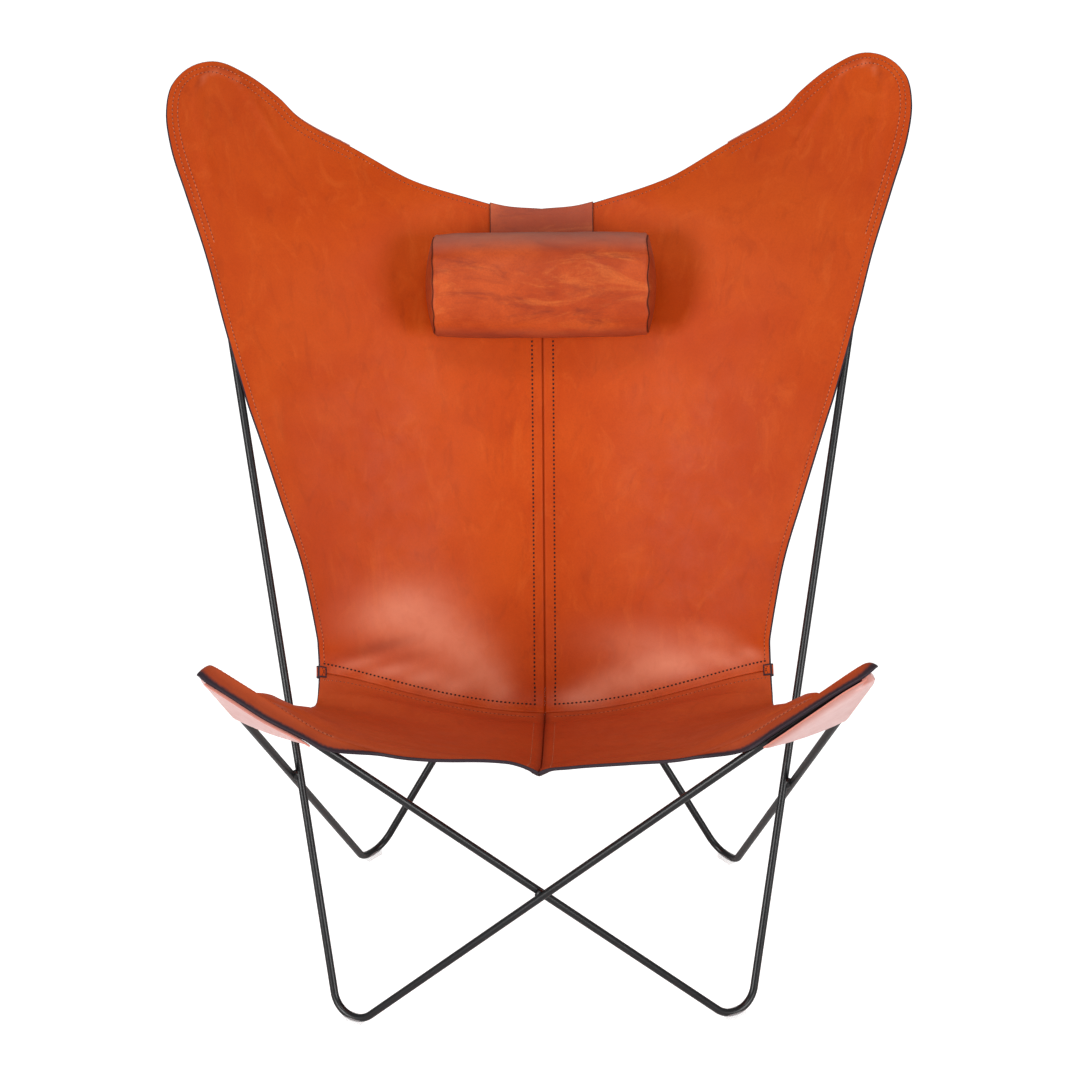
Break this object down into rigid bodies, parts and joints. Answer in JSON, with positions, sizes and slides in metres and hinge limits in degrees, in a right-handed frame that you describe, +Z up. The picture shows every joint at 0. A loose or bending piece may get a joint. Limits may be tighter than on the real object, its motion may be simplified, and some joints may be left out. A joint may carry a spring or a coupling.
{
  "type": "butterfly sling chair",
  "caption": "Leather sling lounge chair on two crossed, bent round-rod loops, with a padded neck cushion that slides on a counterweighted strap.",
  "frame": {"origin": "on the floor under the middle of the chair's overall box", "axes": "+Z up, -Y the way the sitter faces, +X to the right in the picture"},
  "size_m": [0.9326, 0.716, 1.1022],
  "materials": {
    "frame_paint": "satin black powder coat",
    "glide_plastic": "clear",
    "sling_leather": "smooth tan leather, edges dyed dark",
    "raw_leather": "natural flesh side",
    "cushion_leather": "soft waxed leather",
    "foam": "soft foam",
    "steel": "plain bar"
  },
  "bodies": {
    "chair": {"frame_loop_left_ear": "frame_paint", "frame_loop_right_ear": "frame_paint", "weld_front": "frame_paint", "weld_rear": "frame_paint", "weld_left": "frame_paint", "weld_right": "frame_paint", "glide_front_left": "glide_plastic", "glide_front_right": "glide_plastic", "glide_rear_left": "glide_plastic", "glide_rear_right": "glide_plastic", "back_panel_left": "sling_leather", "seat_panel_left": "sling_leather", "back_panel_right": "sling_leather", "seat_panel_right": "sling_leather", "ear_pocket_left": "raw_leather", "horn_pocket_left": "raw_leather", "ear_pocket_right": "raw_leather", "horn_pocket_right": "raw_leather", "back_seam_strip": "raw_leather", "seat_seam_strip": "raw_leather", "cross_seam_strip_left": "raw_leather", "cross_seam_strip_right": "raw_leather", "waist_tab_left": "sling_leather", "waist_tab_right": "sling_leather", "strap_over_edge": "cushion_leather"},
    "cushion": {"cushion_cover": "cushion_leather", "cushion_core": "foam", "cushion_end_left": "cushion_leather", "cushion_end_right": "cushion_leather", "strap_front": "cushion_leather"},
    "counterweight": {"pouch_front": "cushion_leather", "pouch_rear": "cushion_leather", "weight_bar_left": "steel", "weight_bar_right": "steel", "strap_back": "cushion_leather"}
  },
  "joints": [
    {"name": "cushion_slide", "type": "slide", "parent": "chair", "child": "cushion", "axis": [0, -0.3428, -0.9394], "range_m": [-0.015, 0.12], "deforming": ["strap_front"]},
    {"name": "counterweight_slide", "type": "slide", "parent": "chair", "child": "counterweight", "axis": [0, -0.3428, -0.9394], "range_m": [-0.12, 0.015], "deforming": ["strap_back"]}
  ],
  "couplings": [
    {"joint": "counterweight_slide", "follows": "cushion_slide", "ratio": -1}
  ]
}
